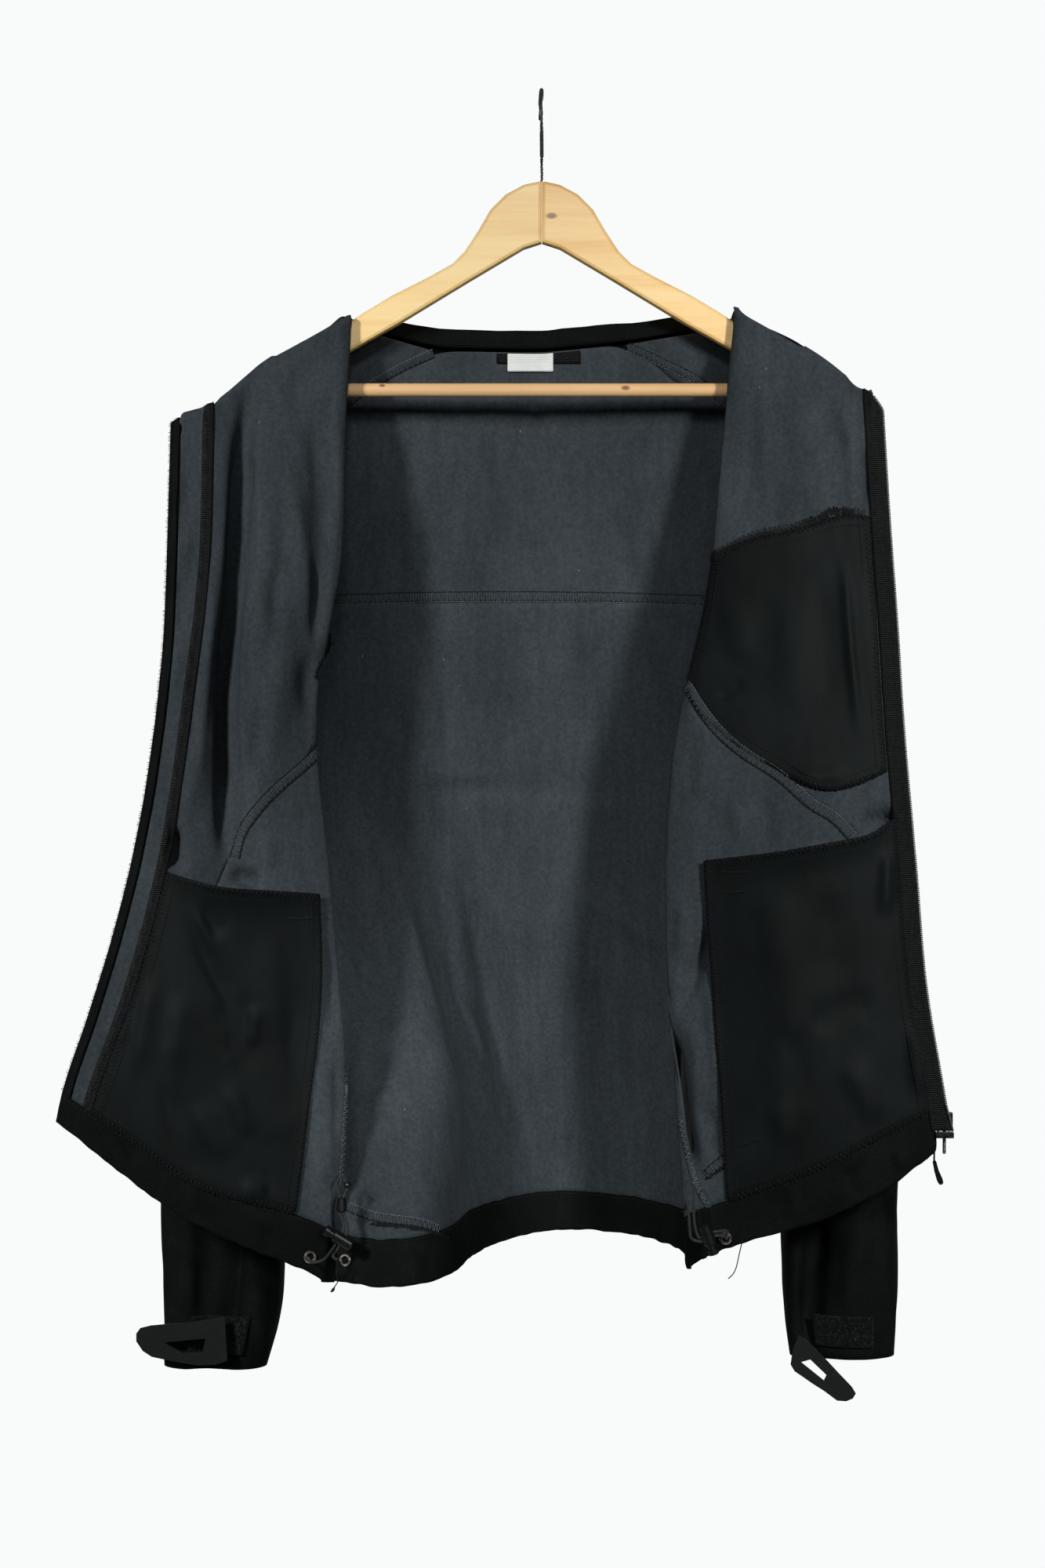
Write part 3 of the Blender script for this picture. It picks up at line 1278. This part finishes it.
# %% [markdown]
# ## Stitches, loops and zip teeth from one node tree
#
# Thousands of small threads repeat along lines, which is work for Geometry Nodes. The tree takes lines
# whose points carry the cloth's normal, sets points along them at the stitch spacing, and puts a short
# bent thread on each, turned against the line, with some unevenness from a fixed seed.

# %% Build the node tree
SIZES = ("Spacing", "Length", "Rise", "Thickness", "Lift")
SECTION = 5  # sides of a thread


def make_thread_tree():
    tree = bpy.data.node_groups.new("threads along lines", "GeometryNodeTree")

    def add(kind, inputs=None, **settings):
        return add_node(tree, kind, inputs, **settings)

    def vector(**parts):
        return add("ShaderNodeCombineXYZ", parts)

    floats = [(name, "Float") for name in (*SIZES, "Turn", "Sway", "Unevenness")]
    for name, kind in (("Lines", "Geometry"), *floats, ("Seed", "Int"), ("Finish", "Material")):
        tree.interface.new_socket(name, in_out="INPUT", socket_type=f"NodeSocket{kind}")
    tree.interface.new_socket("Threads", in_out="OUTPUT", socket_type="NodeSocketGeometry")
    given = add("NodeGroupInput").outputs

    lines = add("GeometryNodeMeshToCurve", {"Mesh": given["Lines"]})
    spaced = {"Curve": lines, "Length": given["Spacing"]}
    places = add("GeometryNodeResampleCurve", spaced, mode="LENGTH")
    named = add("GeometryNodeInputNamedAttribute", {"Name": "out"}, data_type="FLOAT_VECTOR")
    out = named.outputs["Attribute"]
    align = "FunctionNodeAlignRotationToVector"
    along = add(align, {"Vector": add("GeometryNodeInputTangent")}, axis="X", pivot_axis="AUTO")
    upright = add(align, {"Rotation": along, "Vector": out}, axis="Z", pivot_axis="X")

    # the thread: a shallow arch, swept with a small section
    half = calc(tree, "MULTIPLY", given["Length"], 0.5)
    ends = {
        "Start": vector(X=calc(tree, "MULTIPLY", half, -1.0)),
        "Middle": vector(Z=calc(tree, "MULTIPLY", given["Rise"], 2.0)),
        "End": vector(X=half),
    }
    arch = add("GeometryNodeCurveQuadraticBezier", {"Resolution": 4, **ends})
    radius = calc(tree, "MULTIPLY", given["Thickness"], 0.5)
    section = add("GeometryNodeCurvePrimitiveCircle", {"Resolution": SECTION, "Radius": radius})
    swept = {"Curve": arch, "Profile Curve": section, "Fill Caps": True}
    thread = add("GeometryNodeCurveToMesh", swept)

    # every second thread sways the other way, and all are a little uneven
    odd = calc(tree, "MODULO", add("GeometryNodeInputIndex"), 2.0)
    sign = calc(tree, "MULTIPLY_ADD", odd, 2.0, -1.0)
    sway = calc(tree, "MULTIPLY_ADD", sign, given["Sway"], given["Turn"])
    most = given["Unevenness"]
    limits = {2: calc(tree, "MULTIPLY", most, -1.0), 3: most, "Seed": given["Seed"]}
    chance = add("FunctionNodeRandomValue", limits, data_type="FLOAT").outputs[1]
    turned = {"Rotation": upright, "Rotate By": vector(Z=calc(tree, "ADD", sway, chance))}
    raised = add("ShaderNodeVectorMath", {0: out, "Scale": given["Lift"]}, operation="SCALE")
    copies = add(
        "GeometryNodeInstanceOnPoints",
        {
            "Points": add("GeometryNodeSetPosition", {"Geometry": places, "Offset": raised}),
            "Instance": thread,
            "Rotation": add("FunctionNodeRotateRotation", turned, rotation_space="LOCAL"),
            "Scale": calc(tree, "ADD", chance, 1.0),
        },
    )
    real = add("GeometryNodeRealizeInstances", {"Geometry": copies})
    painted = add("GeometryNodeSetMaterial", {"Geometry": real, "Material": given["Finish"]})
    add("NodeGroupOutput", {0: painted})
    return tree


THREADS = make_thread_tree()


# %% Set threads along lines
def set_threads(name, lines, finish, seed, sizes, unevenness, sway=0.0, turn=0.0):
    """One mesh of threads along these (points, normals) lines. `sizes` are SIZES in millimetres."""
    corners, ways, edges = [], [], []
    for points, normals in lines:
        start = len(corners)
        corners.extend(points.tolist())
        ways.extend(normals.tolist())
        edges.extend((i, i + 1) for i in range(start, len(corners) - 1))
    mesh = bpy.data.meshes.new(name + "_lines")
    mesh.from_pydata(corners, edges, [])
    mesh.attributes.new("out", "FLOAT_VECTOR", "POINT").data.foreach_set("vector", np.ravel(ways))
    guide = link(name + "_lines", mesh)
    modifier = guide.modifiers.new("threads", "NODES")
    modifier.node_group = THREADS
    wanted = dict(zip(SIZES, (size * MM for size in sizes)))
    wanted |= {"Turn": turn, "Sway": sway, "Unevenness": unevenness, "Seed": seed, "Finish": finish}
    for socket in THREADS.interface.items_tree:
        if socket.name in wanted:
            modifier[socket.identifier] = wanted[socket.name]
    made = evaluated(guide, name)
    if "out" in made.attributes:
        made.attributes.remove(made.attributes["out"])
    made.shade_smooth()
    threads = link(name, made)
    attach(threads, "jacket")
    print(f"{name}: {len(made.polygons)} faces on {len(lines)} lines")


ACROSS = math.pi / 2
SIDES = ("seam_side_left", "seam_side_right")
PALE_ROWS = {"seam_yoke": 0, "seam_shoulder_left": 0, "seam_shoulder_right": 0, "seam_facing_left": 1,
             "seam_curved_right": 1}  # fmt: skip
DARK_ROWS = [(name, 1 - place) for name, place in PALE_ROWS.items()]
DARK_ROWS += [(name, place) for name in ("seam_curved_left", "seam_facing_right") for place in (0, 1)]
set_threads(
    "flatlock_ladder", [along_band(name, 0.5) for name in SEAMS if name not in SIDES],
    THREAD_SLATE, 11, (2.1, 6.4, 0.25, 0.5, 0.05), 0.12, 0.16, ACROSS,
)  # fmt: skip
set_threads(
    "side_seam_loops", [along_band(name, 0.5) for name in SIDES],
    THREAD_GREY, 12, (2.0, 3.8, 0.3, 0.5, 0.05), 0.2, 0.3, ACROSS,
)  # fmt: skip
set_threads(
    "needle_rows_pale", [along_band(*row) for row in PALE_ROWS.items()],
    THREAD_GREY, 13, (2.9, 2.2, 0.3, 0.55, 0.1), 0.1,
)  # fmt: skip
set_threads(
    "needle_rows_dark", [along_band(*row) for row in DARK_ROWS],
    THREAD_BLACK, 14, (2.4, 2.3, 0.3, 0.8, 0.1), 0.15, 0.15,
)  # fmt: skip

# %% Overlocked edges, topstitching and bartacks
BAGS = ("pocket_hand_left", "pocket_hand_right", "pocket_chest_right")
set_threads(
    "bag_overlock", [line for bag in BAGS for line in edge_line(bag, 2.0)],
    THREAD_BLACK, 21, (1.8, 4.6, 0.5, 0.6, 0.1), 0.25, 0.25, ACROSS,
)  # fmt: skip
set_threads(
    "bag_lockstitch", [line for bag in BAGS for line in edge_line(bag, 8.0)],
    THREAD_BLACK, 22, (3.2, 2.4, 0.3, 0.6, 0.15), 0.08,
)  # fmt: skip
HEMS = ("hem_left", "hem_back", "hem_right")
set_threads(
    "hem_topstitch", [line for hem in HEMS for line in edge_line(hem, 2.2, UP, 0.45)],
    THREAD_BLACK, 23, (3.1, 2.3, 0.3, 0.6, 0.15), 0.08,
)  # fmt: skip
CURLS = [  # overlock chains that stand free: armhole end, facing ends, top of the chest bag
    ("420,808 421,818 419,828 414,836 409,845 404,855 403,866",
     ("front_left_upper", "back_yoke", "back_panel")),
    ("474,1561 498,1563 524,1566 548,1570 571,1579", ("back_panel", "hem_back")),
    ("866,1553 872,1545 878,1537", ("back_panel", "front_right_lower")),
    ("901,1503 914,1494 930,1485", ("front_right_lower", "back_panel")),
]  # fmt: skip
set_threads(
    "overlock_curls", [laid_line(*curl) for curl in CURLS],
    THREAD_BLACK, 25, (1.3, 3.4, 0.6, 0.8, 0.5), 0.25, 0.2, 1.1,
)  # fmt: skip
CHEST_TOP = "908,712 934,700 968,684 1013,676 1054,659 1066,654 1102,659"
fray, fray_normals = laid_line(CHEST_TOP, ("pocket_chest_right", "front_right_upper"))
for row, (down, seed) in enumerate(((0.0, 26), (3.0, 27))):
    lowered = fray + crosswise(fray, fray_normals) * down * MM
    set_threads(
        f"chest_bag_fray_{row}", [(lowered, fray_normals)],
        THREAD_BLACK, seed, (0.9, 4.2, 0.7, 0.5, 0.4), 0.5, 0.35, ACROSS,
    )  # fmt: skip
BARTACKS = {
    "368,1171 382,1172 396,1171": "pocket_hand_left",
    "921,1112 938,1113 956,1111": "pocket_hand_right",
    "921,1137 938,1138 954,1136": "pocket_hand_right",
    "944,1462 956,1457 968,1452": "pocket_hand_right",
}
set_threads(
    "bartacks", [laid_line(pixels, (node,), MM) for pixels, node in BARTACKS.items()],
    THREAD_BLACK, 24, (0.6, 2.0, 0.5, 0.5, 0.15), 0.2, 0.2, ACROSS,
)  # fmt: skip
set_threads(
    "binding_fuzz", edge_line("storm_flap_binding", 0.3, LEFT, 0.5),
    THREAD_BLACK, 28, (0.8, 2.4, 0.3, 0.3, 0.1), 0.6, 0.3, ACROSS,
)  # fmt: skip

# %% [markdown]
# ## The zip
#
# A nylon coil zip is a spring of plastic wire sewn to the tape, 1.4 mm a turn. On the right front it
# runs down the outer edge and shows as a row of small teeth. On the left front the tape lies face
# down, so its coil shows only as a ridge with the sewing threads over it.

# %% Coil and teeth
set_threads(
    "zip_teeth_right", edge_line("zip_tape_right", 0.35, RIGHT),
    ZIP_NYLON, 31, (1.45, 2.6, 0.5, 1.2, -0.3), 0.03, turn=ACROSS,
)  # fmt: skip
set_threads(
    "zip_coil_left", edge_line("zip_tape_left", 2.2, LEFT),
    ZIP_NYLON, 32, (1.5, 3.0, 0.4, 0.9, 0.05), 0.04, 0.1, ACROSS,
)  # fmt: skip
TAPE_ROWS = (
    ("zip_tape_right", 1.5, LEFT),
    ("zip_tape_left", 1.0, RIGHT),
    ("zip_tape_right", 3.6, RIGHT),
)
set_threads(
    "zip_tape_stitches", [line for row in TAPE_ROWS for line in edge_line(*row)],
    THREAD_BLACK, 33, (2.8, 2.1, 0.25, 0.5, 0.1), 0.08,
)  # fmt: skip

# %% [markdown]
# ## Loose ends
#
# Short thread ends hang where the hem was finished off: one with a small knot at the left, one curved
# at the right.

# %% Hang the thread ends
THREAD_WIDTH = 0.8 * MM
THREAD_ENDS = {  # pixels, how thick the thread is along them, and how far forward it hangs, in metres
    "thread_end_left": (
        "432,1604 429,1624 431,1634 427,1641 425,1645 422,1648", [1, 1, 1, 1, 3.0, 1.5], -0.086),
    "thread_end_right": ("947,1582 942,1604 939,1617 935,1625 929,1631", [1, 1, 1, 1, 1], -0.0885),
}  # fmt: skip
for name, (pixels, widths, forward) in THREAD_ENDS.items():
    rays = [sight_line(pixel) for pixel in smooth_route(path(pixels), 4)]
    points = [CAMERA_AT + ray * ((forward - CAMERA_AT.y) / ray.y) for ray in rays]
    fat = np.interp(np.linspace(0, 1, len(points)), np.linspace(0, 1, len(widths)), widths)
    end = round_curve(name, points, THREAD_WIDTH, THREAD_BLACK, fat)
    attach(end, "jacket")
print(f"{len(THREAD_ENDS)} thread ends")

# %% [markdown]
# ## Carried-over hard pieces
#
# The hanger, the cord locks, the eyelets and the zip's metal keep the shapes of their solids and only
# get their finishes.

# %% Finish the hard pieces
HARD = {
    BEECH_LEFT: "hanger_arm_left",
    BEECH_RIGHT: "hanger_arm_right",
    RAW_BEECH: "hanger_bar",
    CHROME: "hanger_hook",
    NICKEL: "eyelet_left_front eyelet_left_back eyelet_right zip_pin zip_pull",
    ACETAL: "lock_barrel_left lock_barrel_right lock_button_left lock_button_right "
    "loop_toggle_left loop_bead_left zip_cord_pull",
    RUBBER: "cuff_tab_left cuff_tab_right",
    ZIP_METAL: "zip_box zip_slider",
}
for finish, nodes in HARD.items():
    for node in nodes.split():
        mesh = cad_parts[node].data
        mesh.materials.clear()
        mesh.materials.append(finish)
print(f"{sum(len(nodes.split()) for nodes in HARD.values())} hard pieces finished")

# %% [markdown]
# ## Floor and light
#
# The jacket hangs in a white room over a pale floor. The picture's back is lit in the middle and dark
# beside both fronts, so two lamps with grids stand left and right of the camera. Each lights its own
# front and the middle of the back, and fades before it reaches the shadow that the other one leaves.
# The room is bright where the camera sees it and adds only a little light, so those shadows stay deep.

# %% Build the floor
FLOOR_Z = -1.9
FLOOR_CORNERS = ((-2.0, -1.4), (2.0, -1.4), (2.0, 1.6), (-2.0, 1.6))  # out of the picture's frame


def make_floor():
    mesh = bpy.data.meshes.new("floor")
    mesh.from_pydata([(x, y, FLOOR_Z) for x, y in FLOOR_CORNERS], [], [(0, 1, 2, 3)])
    material, tree, shader, place = new_finish("pale painted floor", Roughness=0.9)
    colour = shades(tree, grain(tree, place, 0.35), (0.3, "#cfd1d3"), (0.7, "#d8dada"))
    tree.links.new(colour, shader.inputs["Base Color"])
    mesh.materials.append(material)
    return link("floor", mesh)


make_floor()


# %% Set the lights
def beam(name, place, target, half_angle, soft_edge, radius, power):
    """A round beam with a soft edge, as from a lamp with a grid."""
    data = bpy.data.lights.new(name, "SPOT")
    data.spot_size = 2 * math.radians(half_angle)
    data.spot_blend = soft_edge
    data.shadow_soft_size = radius
    data.energy = power
    lamp = link(name, data)
    lamp.location = place
    lamp.rotation_euler = (Vector(target) - Vector(place)).to_track_quat("-Z", "Y").to_euler()
    lamp.visible_camera = False


beam("beam from the left", (-1.5, -2.3, 0.4), (-1.504, 0.08, -0.6), 35, 0.31, 0.2, 300)
beam("beam from the right", (1.2, -2.4, 0.35), (1.48, 0.08, -0.6), 35, 0.31, 0.2, 290)
beam("beam low on the left of the back", (0.9, -2.5, -0.2), (-0.168, 0.0, -0.74), 3.6, 0.9, 0.12, 170)
beam("beam on the hanger", (0.0, -2.3, 0.7), (-0.01, 0.0, -0.1), 9, 0.8, 0.15, 84)
beam("beam behind the left side", (-1.7, 2.4, 0.5), (-0.1, 0.0, -0.55), 24, 0.5, 0.3, 220)
beam("beam behind the right side", (1.7, 2.4, 0.5), (0.1, 0.0, -0.55), 24, 0.5, 0.3, 220)
print(f"{len(bpy.data.lights)} lamps")

# %% Paint the room
world = bpy.data.worlds.new("white room")
world.use_nodes = True
room = world.node_tree
fill = room.nodes["Background"]
fill.inputs["Color"].default_value = linear("#fbfcff")
fill.inputs["Strength"].default_value = 0.04
walls = add_node(room, "ShaderNodeBackground", {"Color": linear("#f9fafa"), "Strength": 1.0})
rays = add_node(room, "ShaderNodeLightPath").outputs["Is Camera Ray"]
shown = add_node(room, "ShaderNodeMixShader", {0: rays, 1: fill, 2: walls})
room.links.new(shown.outputs["Shader"], room.nodes["World Output"].inputs["Surface"])
bpy.context.scene.world = world
